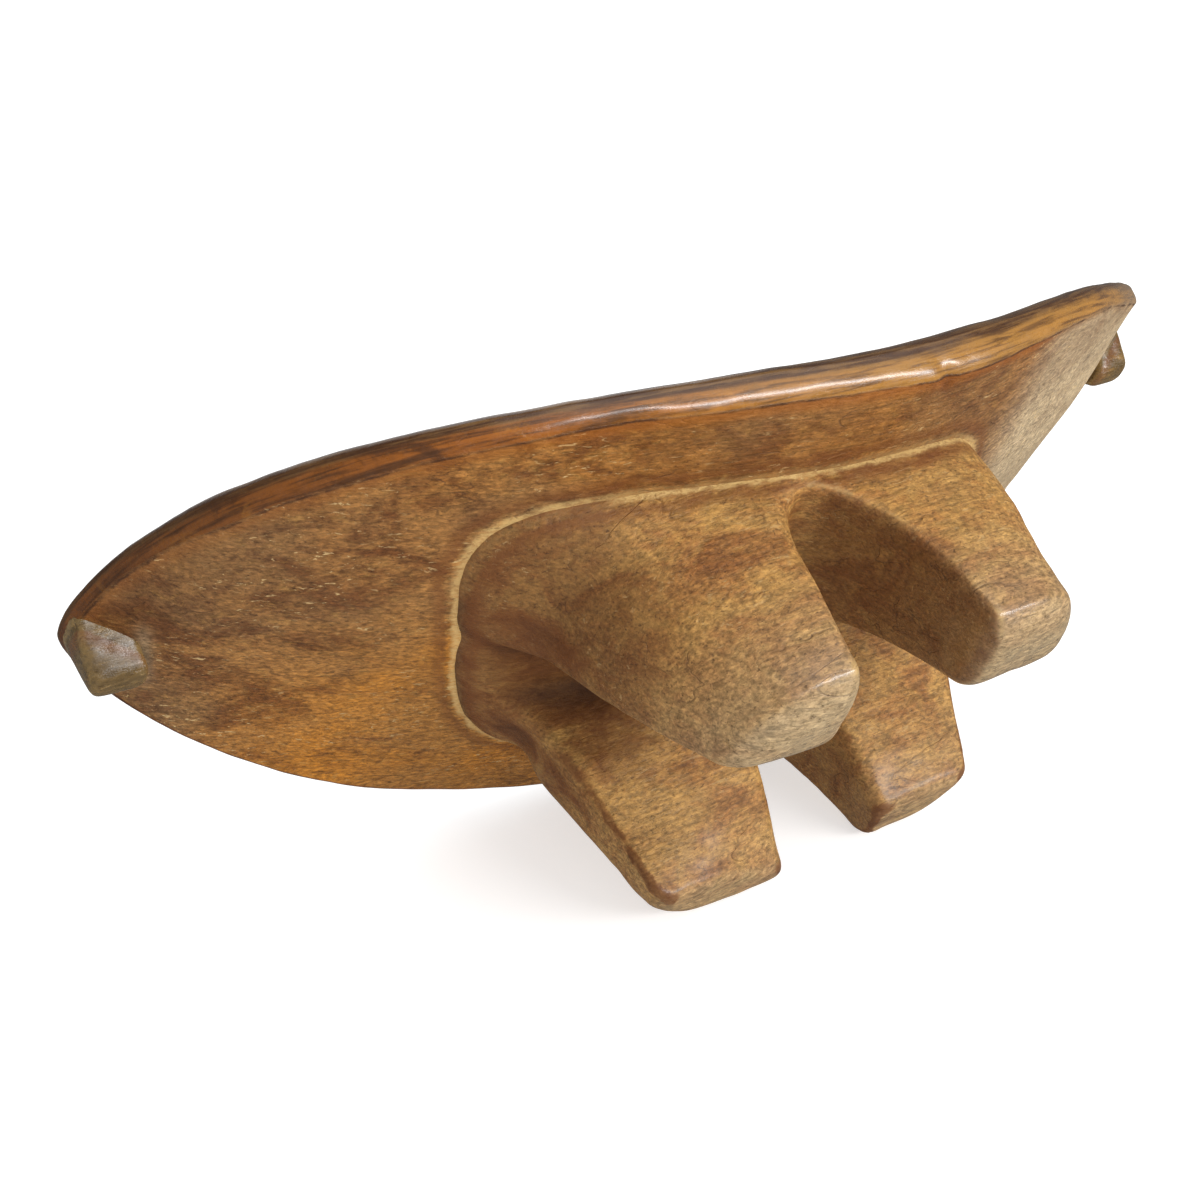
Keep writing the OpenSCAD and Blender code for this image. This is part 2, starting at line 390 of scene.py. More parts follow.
def rest_marks(v, faces, normals, edge_mm, crease_mm, along_mm, chip):
    """The marks of the rest: its rim, and where it is stained, faded or golden."""
    marks = base_marks(v, faces, normals, 2)
    x, y, z = v.T
    inside = crease_mm > 0
    underside = inside & (z < rim_z(x, y) - 3)
    below = ramp(crease_mm, -6, 0)
    off_band = ramp(crease_mm, -2, 4)
    marks["along_mm"] = along_mm
    marks["edge_mm"] = np.clip(edge_mm, -FAR, FAR)
    marks["crease_mm"] = np.clip(crease_mm, -FAR, FAR)
    marks["joint_mm"] = np.clip(np.where(underside, block_outline(x, y, z), FAR), -10, FAR)
    marks["hollow"] = 0.5 * chip
    # the left wing is browner toward the front, and so is the strip under the front rim
    left_wing = 0.4 * ramp(x, -80, -190) * ramp(y, 10, -50)
    front_strip = 0.45 * ramp(y, -60, -78) * ramp(x, -130, -70) * inside
    marks["stain"] = 0.5 * ramp(x, -205, -240) + below * (left_wing + front_strip)
    marks["shine"] = np.zeros(len(v))
    # the right wing and the right end of the rim are painted paler and greyer as a painted sheen, and a
    # pale line runs beside the left lug
    pale_and_sheen = 0.9 * ramp(x, 76, 120) * off_band + 0.7 * ramp(x, 140, 220) * (1 - off_band)
    lug_side = np.exp(-((x - LEFT_LUG_FACE - 0.06 * y) / 2.6) ** 2 - ((y - 6) / 17) ** 4)
    marks["faded"] = np.maximum(pale_and_sheen, 0.8 * lug_side * inside)
    golden = ramp(y, -30, 80) * ramp(x, -230, -140) * ramp(x, 20, -40)
    golden += 0.2 * ramp(y, -70, -85) * ramp(crease_mm, 1, 4) * ramp(x, 105, 80)
    golden += 0.9 * ramp(x, -185, -135) * ramp(x, -95, -110) * ramp(y, -55, 5)
    marks["golden"] = below * np.minimum(golden, 1)
    return marks


def build_rest(material):
    v, faces, edge_mm, crease_mm, along_mm = rest_mesh()
    normals = vertex_normals(v, faces)
    x, y, _ = v.T
    # along the back the crease has no rust or dark line beside it, so they are pushed out of reach
    crease_mm = crease_mm + np.where(crease_mm > 0, NO_RUST * ramp(y, 0, 50), 0)
    near_crease = np.exp(-(crease_mm / 4) ** 2) * at_front(y)
    chip = np.exp(-((x - CHIP_X - 0.5 * crease_mm) / 3.5) ** 2 - (crease_mm / 6) ** 2)
    chip = chip * ease(-y / SIDE_BLEND)
    relief = tool_marks(v, REST_RELIEF) + near_crease * tool_marks(v, CREASE_RELIEF)
    v = v + normals * (relief - CHIP_DEPTH * chip)[:, None]
    normals = vertex_normals(v, faces)
    marks = rest_marks(v, faces, normals, edge_mm, crease_mm, along_mm, chip)
    make_piece("rest", v, faces, normals, marks, material, "rest_wood", "headrest_top")


# ---------------------------------------------------------------- the leg block
STEP = 1.25                      # size of the cells that the block is meshed in
SPLIT_H = 60.0                   # where the four legs leave the base
MID_Y = 6.0                      # and where the front legs part from the back ones
# The block's outline: where its four sides are at eight heights, how much its two ends slant
# there, and how far in the end of the back left leg stands.
LEVELS = [0, 7, 26, 50, 72, 84, 92, 100]
LEFT_X = [-89, -93, -100, -107, -110, -112, -114, -116]
LEFT_SKEW = [0.0, -0.01, -0.01, 0.015, 0.09, 0.16, 0.22, 0.25]
RIGHT_X = [70, 72, 77, 86, 90, 92, 94, 98]
RIGHT_SKEW = [0.06, 0.07, 0.11, 0.15, 0.18, 0.19, 0.19, 0.19]
BACK_LEFT_IN = [4, 6, 12, 13, 7, 3, 0, 0]
FRONT_Y = [-68, -72.5, -74, -75.5, -77, -78, -79, -82]
BACK_Y = [71, 76, 78.5, 79.5, 80, 80, 81, 83]
LEFT_SQUARE = 3.6                # how square the left end's corners are
RIGHT_SQUARE = 6.0
FILLET = 14.0                    # the left end runs out into the rest by this much
FILLET_H = 20.0                  # over this height
NOTCH_X = -15.5                  # middle of the cross notch, in front at the sole
NOTCH_Y = -75.0
NOTCH_H = 75.5                   # height of its crown
NOTCH_HALF = 29.5                # half its width at the sole
NOTCH_SKEW = 0.13                # how much its way through slants
CHANNEL_Y = 7.5                  # middle of the lengthwise channel
CHANNEL_HALF = 38.5              # half its width at the sole
CHANNEL_TAPER = 0.38             # how fast that narrows upward
CHANNEL_ROOF = 7.0               # wood left over it
OVERLAP = 2.5                    # the block runs this far up into the rest
AROUND = 5                       # cells that the measure of hollows looks round by
BLOCK_RELIEF = [(0.5, (30, 24, 30), 13), (0.28, (13, 11, 13), 14), (0.14, (6, 5, 5), 15)]


def notch_mid(y, z):
    """The notch leans to the left toward its crown."""
    t = np.clip(z / NOTCH_H, 0, 1)
    return NOTCH_X + 2 * t - 9 * t ** 3 + NOTCH_SKEW * (y - NOTCH_Y)


def smooth_max(a, b, k):
    """The larger of a and b, rounded over where they are within k of each other."""
    h = np.clip(0.5 + 0.5 * (a - b) / k, 0, 1)
    return b + (a - b) * h + k * h * (1 - h)


def smooth_min(a, b, k):
    return -smooth_max(-a, -b, k)


def block_outline(x, y, z):
    """Signed distance, about, to the block's outline at each height."""
    def at(values):
        return np.interp(z, LEVELS, values)

    x_lo, x_hi = at(LEFT_X) + at(LEFT_SKEW) * y, at(RIGHT_X) + at(RIGHT_SKEW) * y
    back = ramp(y, 5, 40)
    x_lo = x_lo + at(BACK_LEFT_IN) * back
    # the left end runs out into the rest in a wide fillet
    x_lo = x_lo - FILLET * ease(1 - (under_z(x, y) - z) / FILLET_H) ** 1.5
    y_lo, y_hi = at(FRONT_Y), at(BACK_Y)
    a, b = (x_hi - x_lo) / 2, (y_hi - y_lo) / 2
    p, q = (x - (x_lo + x_hi) / 2) / a, (y - (y_lo + y_hi) / 2) / b
    # the back left leg is squarer than the front one, most of all near its sole
    squarer = back * ramp(z, 88, 68) * (1.3 + 1.1 * ramp(z, 0, 20))
    power = np.where(p < 0, LEFT_SQUARE + squarer, RIGHT_SQUARE)
    px, qy = np.abs(p) ** power, np.abs(q) ** power
    f = np.maximum(px + qy, 1e-6)
    scale = (a * px + b * qy) / f
    return (f ** (1 / power) - 1) * scale


def notch_void(x, y, z):
    """Negative inside the cross notch."""
    t = np.clip(z / NOTCH_H, 0, 1)
    half = NOTCH_HALF * np.maximum(1 - t ** 2.2, 0) ** 0.66 * (1 - 0.24 * ramp(y, 0, 50))
    return smooth_max(np.abs(x - notch_mid(y, z)) - half, z - NOTCH_H, 6)


def channel_void(x, y, z):
    """Negative inside the lengthwise channel."""
    flare = np.where(x < 0, 10, 5) * np.clip(np.abs(x + 6) / 95, 0, 1.3) ** 3
    # the back feet are cut back beside the notch
    back = ramp(y, 10, 30) * ease(1 - z / 34)
    flare = flare * (1 - back * (x < 0)) + 17 * back * np.exp(-((x + 12) / 36) ** 2)
    half = CHANNEL_HALF - CHANNEL_TAPER * z + flare
    crown = under_z(x, 0 * x) - CHANNEL_ROOF + 3 * ramp(x, -40, -100)
    return smooth_max(np.abs(y - CHANNEL_Y) - half, z - crown, 8)


def block_field(x, y, z):
    """Signed distance, about, to the leg block with its notch and channel cut."""
    body = block_outline(x, y, z)
    cut = smooth_min(notch_void(x, y, z), channel_void(x, y, z), 7)
    # the cut's arrises are softer on the inside of the front left leg, and crisper on the back feet
    inner = ease((notch_mid(y, z) - x) / 12) * ramp(y, 0, -60)
    crisp = 2.5 * ramp(y, 10, 30) * ramp(z, 55, 35)
    body = smooth_max(body, -cut, 6 - crisp + 8 * inner * ramp(z, 35, 65))
    body = smooth_max(body, -z, 4 + 6 * ramp(y, 0, -40))
    return np.maximum(body, z - under_z(x, y) - OVERLAP)


def surface_nets(f, origin, step):
    """Vertices and outward quads of the zero level of f, which is negative inside."""
    inside = f < 0
    nx, ny, nz = np.array(f.shape) - 1
    count = sum(inside[a:nx + a, b:ny + b, c:nz + c].astype(np.int8)
                for a in (0, 1) for b in (0, 1) for c in (0, 1))
    cells = np.argwhere((count > 0) & (count < 8))
    total, hits = np.zeros((len(cells), 3)), np.zeros(len(cells))
    for axis in range(3):
        for a in (0, 1):
            for b in (0, 1):
                lo = np.insert([a, b], axis, 0)
                hi = np.insert([a, b], axis, 1)
                p, q = cells + lo, cells + hi
                fp, fq = f[tuple(p.T)], f[tuple(q.T)]
                crossed = (fp < 0) != (fq < 0)
                t = np.where(crossed, fp / np.where(crossed, fp - fq, 1), 0)
                total += np.where(crossed[:, None], p + t[:, None] * (hi - lo), 0)
                hits += crossed
    v = origin + step * total / hits[:, None]
    index = np.full(count.shape, -1)
    index[tuple(cells.T)] = np.arange(len(cells))
    quads = []
    for axis in range(3):
        u, w = [k for k in range(3) if k != axis]
        near = np.take(inside, range(f.shape[axis] - 1), axis)
        far = np.take(inside, range(1, f.shape[axis]), axis)
        back_u, back_w = np.eye(3, dtype=int)[[u, w]]
        for sense in (True, False):
            e = np.argwhere((near == sense) & (far != sense))
            e = e[(e[:, u] > 0) & (e[:, w] > 0)]
            e = e[(e[:, u] < f.shape[u] - 1) & (e[:, w] < f.shape[w] - 1)]
            quad = np.stack([index[tuple((e - s).T)]
                             for s in (back_u + back_w, back_w, 0 * back_u, back_u)], -1)
            if sense == (axis == 1):
                quad = quad[:, ::-1]
            quads.append(quad)
    return v, np.concatenate(quads)


def relax(v, faces, rounds):
    """Evens out a mesh of quads: each round draws it together, then lets it out again."""
    ends, degree = links_of(faces, len(v))
    for _ in range(rounds):
        for pull in (0.5, -0.52):
            v = v + pull * (neighbour_mean(v, ends, degree) - v)
    return v


def open_loops(faces, count):
    """The loops of vertices round the openings of a mesh of quads."""
    sides = side_pairs(faces)
    there, back = sides[:, 0] * count + sides[:, 1], sides[:, 1] * count + sides[:, 0]
    follow = {}
    for a, b in sides[~np.isin(there, back)].tolist():
        follow.setdefault(a, []).append(b)

    def step_from(a):
        b = follow[a].pop()
        if not follow[a]:
            del follow[a]
        return b

    loops = []
    while follow:
        start = next(iter(follow))
        loop, at = [start], step_from(start)
        while at != start:
            loop.append(at)
            at = step_from(at)
        loops.append(loop)
    return loops


def part_of(v, faces, keep, normals, marks):
    """The kept faces as a mesh of their own, with each open loop closed by a fan."""
    used, index = np.unique(faces[keep], return_inverse=True)
    faces = index.reshape(-1, 4)
    v, normals = v[used], normals[used]
    marks = {k: m[used] for k, m in marks.items()}
    mid_z = v[:, 2].mean()
    fans = []
    for loop in open_loops(faces, len(v)):
        centre, hub = v[loop].mean(0), len(v)
        v = np.vstack([v, centre])
        normals = np.vstack([normals, [0, 0, 1 if centre[2] > mid_z else -1]])
        marks = {k: np.append(m, m[loop].mean()) for k, m in marks.items()}
        fans += [[loop[k], loop[k - 1], hub, hub] for k in range(len(loop))]
    if fans:
        faces = np.vstack([faces, fans])
    return v, faces, normals, marks


def box_blur(solid, radius):
    """Mean over a cube of 2 * radius + 1 cells, along each axis in turn."""
    for axis in range(3):
        pad = [(radius + 1, radius) if k == axis else (0, 0) for k in range(3)]
        total = np.cumsum(np.pad(solid, pad, mode="edge"), axis=axis, dtype=np.float64)
        n = solid.shape[axis]
        hi = np.take(total, range(2 * radius + 1, 2 * radius + 1 + n), axis)
        lo = np.take(total, range(n), axis)
        solid = ((hi - lo) / (2 * radius + 1)).astype(np.float32)
    return solid


def sample(grid, q):
    """Values of a grid at fractional places q."""
    q = np.clip(q, 0, np.array(grid.shape) - 1.001)
    low = np.floor(q).astype(int)
    f = q - low
    total = np.zeros(len(q))
    for corner in range(8):
        step = np.array([corner & 1, corner >> 1 & 1, corner >> 2 & 1])
        i, j, k = (low + step).T
        total += np.prod(np.where(step, f, 1 - f), axis=1) * grid[i, j, k]
    return total


def block_marks(v, faces, normals, around):
    """The marks of the leg block; around is the share of wood round each point."""
    marks = base_marks(v, faces, normals, 4)
    x, y, z = v.T
    steep = np.sqrt(np.maximum(1 - normals[:, 2] ** 2, 0.03))
    marks["joint_mm"] = np.clip((under_z(x, y) - z) / steep, -10, FAR)
    # the left end of the block is darker: part stain, part painted shade on the end turned from the
    # light
    left_end = ramp(x, -84, -104) * ramp(z, 20, 50) * (1 - 0.9 * ramp(y, 0, 25))
    marks["stain"] = np.maximum(marks["stain"], 0.95 * left_end)
    deep = ramp(x, -45, -75) * ramp(z, 30, 55) * ramp(np.abs(y - 7), 50, 38)
    marks["hollow"] = np.clip(around - 0.5, -0.5, 0.5) + 0.16 * deep
    # grime, not rubbing, along the arrises of the back feet
    grime = ramp(marks["wear"], 0.10, 0.22) * ramp(y, 5, 20) * ramp(z, 75, 55)
    marks["wear"] = marks["wear"] * (1 - 0.8 * grime)
    marks["hollow"] = marks["hollow"] * (1 - grime) + 0.17 * grime
    return marks


def build_block(base_material, leg_material):
    """The leg block as one surface, parted into the base and its four feet."""
    lo = np.array([-160.0, -100.0, -6.0])
    hi = np.array([112.0, 102.0, 112.0])
    axes = [np.arange(a, b, STEP) for a, b in zip(lo, hi)]
    x, y, z = (g.astype(np.float32) for g in np.meshgrid(*axes, indexing="ij"))
    f = block_field(x, y, z)
    v, faces = surface_nets(f, lo, STEP)
    v = relax(v, faces, 3)
    normals = vertex_normals(v, faces)
    # the rest counts as wood too
    solid = np.clip(0.5 - np.minimum(f, under_z(x, y) - z) / STEP, 0, 1)
    around = sample(box_blur(box_blur(solid, AROUND), AROUND), (v - lo) / STEP)
    v = v + normals * tool_marks(v, BLOCK_RELIEF)[:, None]
    normals = vertex_normals(v, faces)
    marks = block_marks(v, faces, normals, around)
    mid = v[faces].mean(1)
    low = mid[:, 2] < SPLIT_H
    at_right = mid[:, 0] > notch_mid(mid[:, 1], mid[:, 2])
    at_back = mid[:, 1] > MID_Y
    make_piece("base", *part_of(v, faces, ~low, normals, marks), base_material, "block_wood", "leg_base")
    for row, in_row in (("front", ~at_back), ("back", at_back)):
        for end, in_end in (("left", ~at_right), ("right", at_right)):
            foot = part_of(v, faces, low & in_row & in_end, normals, marks)
            make_piece(f"foot_{row}_{end}", *foot, leg_material, "leg_wood", f"leg_{row}_{end}")


# ---------------------------------------------------------------- the end lugs
LUG_STEP = 0.9                   # size of the cells that a lug is meshed in
LUG_LO = np.array([-26.0, -34.0, -28.0])
LUG_HI = np.array([14.0, 34.0, 12.0])
LUG_IN = 18.0                    # from a lug's outer face to its inner one
LUG_TIP = 4.0                    # the outer face is this far from the tip of the rest
LEFT_LUG_OUT = 1.5               # and the left one this much nearer
LUG_INSET = 1.5                  # a lug stays this far inside the rim's outline
LUG_RELIEF = [(0.4, 9, 21), (0.2, 4, 22)]


def build_lug(name, sign, offset, drop, material):
    """A blunt wedge under one end: sign is that end's, offset is to the back, drop is its depth."""
    axes = [np.arange(a, b, LUG_STEP) for a, b in zip(LUG_LO, LUG_HI)]
    x, y, z = np.meshgrid(*axes, indexing="ij")
    face_in = -x - LUG_IN + 0.15 * z
    face_out = x - 1.0 - 0.12 * z
    front = -(0.80 * (y + 3) + 0.60 * (z + drop))
    back = 0.86 * (y - 7) - 0.5 * (z + drop)
    bottom = -(z + drop) + 0.05 * y
    f = smooth_max(smooth_max(face_in, face_out, 5), smooth_max(front, back, 4), 4)
    f = smooth_max(f, bottom, 3)
    tip = sign * (HALF - LUG_TIP) - (LEFT_LUG_OUT if sign < 0 else 0)
    seat = under_z(sign * (HALF - 14), 0.0) + 2.0
    # the same places in the frame of the rest, which the lug stays under
    xw, yw = sign * x + tip, y + offset
    f = np.maximum(f, z + seat - under_z(xw, yw) - 2.0)
    yw = yw - tip_shift(xw)

    def width_at(x):
        return plan_w(np.clip(x / HALF, -1, 1), np.sign(yw), HALF_W)

    slope = (width_at(xw + 1) - width_at(xw - 1)) / 2
    f = smooth_max(f, (np.abs(yw) - width_at(xw) + LUG_INSET) / np.sqrt(1 + slope ** 2), 3)
    v, faces = surface_nets(f, LUG_LO, LUG_STEP)
    v = relax(v, faces, 2)
    v = v * [sign, 1, 1] + [tip, offset, seat]
    if sign < 0:
        faces = faces[:, ::-1]
    normals = vertex_normals(v, faces)
    v = v + normals * tool_marks(v, LUG_RELIEF)[:, None]
    normals = vertex_normals(v, faces)
    marks = base_marks(v, faces, normals, 3)
    marks["faded"] = np.zeros(len(v))
    # the lug is stained all over, and darker on its downward faces as painted shade
    marks["stain"] = 0.4 + 0.3 * ease(-normals[:, 2])
    marks["shine"] = np.full(len(v), 0.35)
    make_piece("end_" + name, v, faces, normals, marks, material, "lug_wood", name)


# ---------------------------------------------------------------- materials
class Wood:
    """Builds one wood material; every texture is in object space, with sizes in mm."""

    def __init__(self, name):
        self.material = bpy.data.materials.new(name)
        self.material.use_nodes = True
        self.nodes = self.material.node_tree.nodes
        self.links = self.material.node_tree.links
        self.shader = self.nodes["Principled BSDF"]
        self.coords = self.nodes.new("ShaderNodeTexCoord").outputs["Object"]
        # size in mm, detail, roughness, shift and bend of each noise
        self.broad = self.noise((70, 55, 55), 3, 0.5, 1.3)
        self.patch = self.noise((28, 15, 15), 6, 0.68, 4.1, 0.8)
        self.mottle = self.noise((9, 4, 4), 6, 0.72, 7.7, 0.6)
        self.grit = self.noise((2.6, 1.5, 1.5), 4, 0.7, 6.1, 0.3)
        self.fibre = self.noise((16, 1.1, 1.1), 4, 0.62, 2.2, 0.3)
        self.flecks = self.noise((8, 1.7, 1.7), 4, 0.62, 5.4, 0.8)
        self.gate = self.noise((42, 26, 26), 3, 0.6, 12.0)
        self.pores = self.noise((1.7, 1.0, 1.0), 2, 0.5, 3.3)
        self.crack_field = self.noise((55, 16, 16), 3, 0.5, 15.0, 0.35)

    def put(self, value, socket):
        if isinstance(value, (int, float)):
            socket.default_value = value
        elif isinstance(value, tuple):
            socket.default_value = (*value, 1) if len(socket.default_value) == 4 else value
        else:
            self.links.new(value, socket)

    def calc(self, op, a, b=0.0, c=0.0):
        node = self.nodes.new("ShaderNodeMath")
        node.operation = op
        for value, socket in zip((a, b, c), node.inputs):
            self.put(value, socket)
        return node.outputs[0]

    def times(self, a, b):
        return self.calc("MULTIPLY", a, b)

    def shaken(self, value, noise, amount):
        """The value moved up and down with a noise, by half the amount at most."""
        return self.calc("MULTIPLY_ADD", self.calc("SUBTRACT", noise, 0.5), amount, value)

    def span(self, value, lo, hi, out_lo=0.0, out_hi=1.0, smooth=True):
        """The value mapped from lo..hi to out_lo..out_hi, and held at both ends."""
        node = self.nodes.new("ShaderNodeMapRange")
        node.interpolation_type = "SMOOTHSTEP" if smooth else "LINEAR"
        for v, socket in zip((value, lo, hi, out_lo, out_hi), node.inputs):
            self.put(v, socket)
        return node.outputs[0]

    def noise_at(self, place, detail, rough, bend):
        node = self.nodes.new("ShaderNodeTexNoise")
        node.inputs["Scale"].default_value = 1.0
        node.inputs["Detail"].default_value = detail
        node.inputs["Roughness"].default_value = rough
        node.inputs["Distortion"].default_value = bend
        self.links.new(place.outputs[0], node.inputs["Vector"])
        return node.outputs[0]

    def noise(self, size, detail, rough, shift, bend=0.0):
        """Noise from about 0 to 1 with features of that size along X, Y and Z."""
        place = self.nodes.new("ShaderNodeMapping")
        place.inputs["Location"].default_value = (shift, shift * 1.7, shift * 0.6)
        place.inputs["Scale"].default_value = tuple(1 / (MM * k) for k in size)
        self.links.new(self.coords, place.inputs["Vector"])
        return self.noise_at(place, detail, rough, bend)

    def streaks(self, a, b, size):
        """Noise over two marks, with features of those sizes along each."""
        place = self.nodes.new("ShaderNodeCombineXYZ")
        self.put(self.calc("DIVIDE", a, size[0]), place.inputs[0])
        self.put(self.calc("DIVIDE", b, size[1]), place.inputs[1])
        return self.noise_at(place, 5.0, 0.62, 0.4)

    def mix(self, fac, a, b, kind="MIX"):
        node = self.nodes.new("ShaderNodeMix")
        node.data_type, node.blend_type = "RGBA", kind
        self.put(fac, node.inputs[0])
        # a Mix node's two colours are its inputs 6 and 7
        self.put(a, node.inputs[6])
        self.put(b, node.inputs[7])
        return node.outputs[2]

    def mark(self, name):
        node = self.nodes.new("ShaderNodeAttribute")
        node.attribute_name = name
        return node.outputs["Fac"]


# Colours, as linear RGB.
TAN = (0.262, 0.120, 0.030)
OCHRE = (0.320, 0.172, 0.045)
GOLD = (0.410, 0.155, 0.010)
RUSSET = (0.135, 0.042, 0.008)
UMBER = (0.112, 0.040, 0.009)
GREYISH = (0.145, 0.095, 0.044)
# pale, greyer colours: wear, and painted sheen
WEAR_AND_SHEEN_PALE = (0.370, 0.285, 0.170)
LEG_WEAR_AND_SHEEN_PALE = (0.300, 0.215, 0.115)
PALE = (0.560, 0.370, 0.140)
FLECK = (0.460, 0.310, 0.135)
DARK = (0.035, 0.013, 0.005)
POLISHED = (0.255, 0.074, 0.004)
POLISHED_DARK = (0.045, 0.015, 0.003)
HONEY = (0.300, 0.145, 0.026)
HONEY_DARK = (0.120, 0.052, 0.010)
RIM_TOP = (0.135, 0.066, 0.018)
# a painted sheen for the right end of the rim band
RIM_SHEEN_PALE = (0.270, 0.170, 0.085)
LUG_FACE = (0.135, 0.083, 0.028)
LUG_BLOTCH = (0.080, 0.048, 0.015)
LUG_RUSSET = (0.075, 0.040, 0.011)
LUG_UMBER = (0.095, 0.056, 0.016)


def bare_wood(w, face, blotch, pale_and_sheen, grey, russet, umber):
    """Two ground colours under patches, mottling, pale wear and painted sheen, and stains and painted
    shade, with fibre and grit.
    """
    colour = w.mix(w.span(w.patch, 0.38, 0.62), face, blotch)
    colour = w.mix(w.times(w.mark("golden"), 0.85), colour, GOLD)
    colour = w.mix(w.times(w.span(w.broad, 0.42, 0.62), grey), colour, GREYISH)
    colour = w.mix(w.times(w.span(w.patch, 0.52, 0.74), 0.7), colour, russet)
    colour = w.mix(w.times(w.span(w.mottle, 0.52, 0.70), 0.6), colour, umber)
    colour = w.mix(w.times(w.span(w.mottle, 0.46, 0.30), 0.6), colour, OCHRE)
    # paler, greyer wood: wear on the soles and beside the left lug, painted sheen on the right wing, the
    # rim's right end and the lower legs
    faded = w.times(w.mark("faded"), w.span(w.patch, 0.3, 0.7, 1.0, 0.7))
    colour = w.mix(faded, colour, pale_and_sheen)
    # darker wood: stain, and painted shade on faces turned from the light
    stain = w.times(w.mark("stain"), w.span(w.patch, 0.3, 0.7, 0.60, 0.85))
    colour = w.mix(stain, colour, umber)
    # grit is fainter on stained wood and on painted shade
    grit_lo = w.span(w.mark("stain"), 0.0, 0.8, 0.60, 0.80)
    grit_hi = w.calc("SUBTRACT", 2.0, grit_lo)
    grain = w.times(w.span(w.fibre, 0.32, 0.68, 0.70, 1.30, smooth=False),
                    w.span(w.grit, 0.34, 0.66, grit_lo, grit_hi, smooth=False))
    tint = w.nodes.new("ShaderNodeCombineColor")
    for socket in tint.inputs:
        w.links.new(grain, socket)
    return w.mix(1.0, colour, tint.outputs[0], "MULTIPLY")


def blemishes(w, colour, fleck):
    """Pale flecks, fine cracks and pores; also returns where the cracks are."""
    open_patch = w.span(w.gate, 0.44, 0.58)
    speck = w.times(w.span(w.flecks, 0.60, 0.68), w.times(open_patch, fleck))
    colour = w.mix(speck, colour, FLECK)
    from_crack = w.calc("ABSOLUTE", w.calc("SUBTRACT", w.crack_field, 0.5))
    cracks = w.times(w.span(from_crack, 0.014, 0.002), w.span(w.gate, 0.52, 0.40, 0.0, 0.5))
    cracks = w.times(cracks, w.span(w.grit, 0.36, 0.56))
    colour = w.mix(cracks, colour, DARK)
    return w.mix(w.times(w.span(w.pores, 0.62, 0.72), 0.55), colour, DARK), cracks


def use_and_wear(w, colour, has_rim):
    """Dark hollows and paler rubbed edges and joint; also returns how polished the wood is."""
    hollow = w.shaken(w.mark("hollow"), w.patch, 0.25)
    colour = w.mix(w.span(hollow, 0.01, 0.20, 0.0, 0.75), colour, RUSSET)
    colour = w.mix(w.span(hollow, 0.12, 0.32, 0.0, 0.8), colour, DARK)
    ragged = w.shaken(w.mark("wear"), w.mottle, 0.30)
    rubbed = w.span(ragged, 0.16, 0.34, 0.0, 0.45)
    rubbed = w.times(rubbed, w.span(w.mark("stain"), 0.0, 0.7, 1.0, 0.15))
    joint = w.shaken(w.mark("joint_mm"), w.mottle, 5.0)
    clear_of_stain_and_shade = w.span(w.mark("stain"), 0.0, 0.6, 1.0, 0.1)
    worn_joint = w.times(w.span(joint, 2.9, 0.9, 0.0, 0.8), clear_of_stain_and_shade)
    under_joint = w.times(w.span(joint, 3.0, 4.5), w.span(joint, 10.0, 5.0, 0.0, 0.55))
    colour = w.mix(under_joint, colour, RUSSET)
    if has_rim:
        colour, rubbed, shine = rim_colour(w, colour, rubbed)
    else:
        shine = w.mark("shine")
    worn = w.calc("MAXIMUM", rubbed, worn_joint)
    crumbs = w.times(worn, w.span(w.grit, 0.62, 0.44, 0.45, 1.0))
    return w.mix(crumbs, colour, PALE), shine


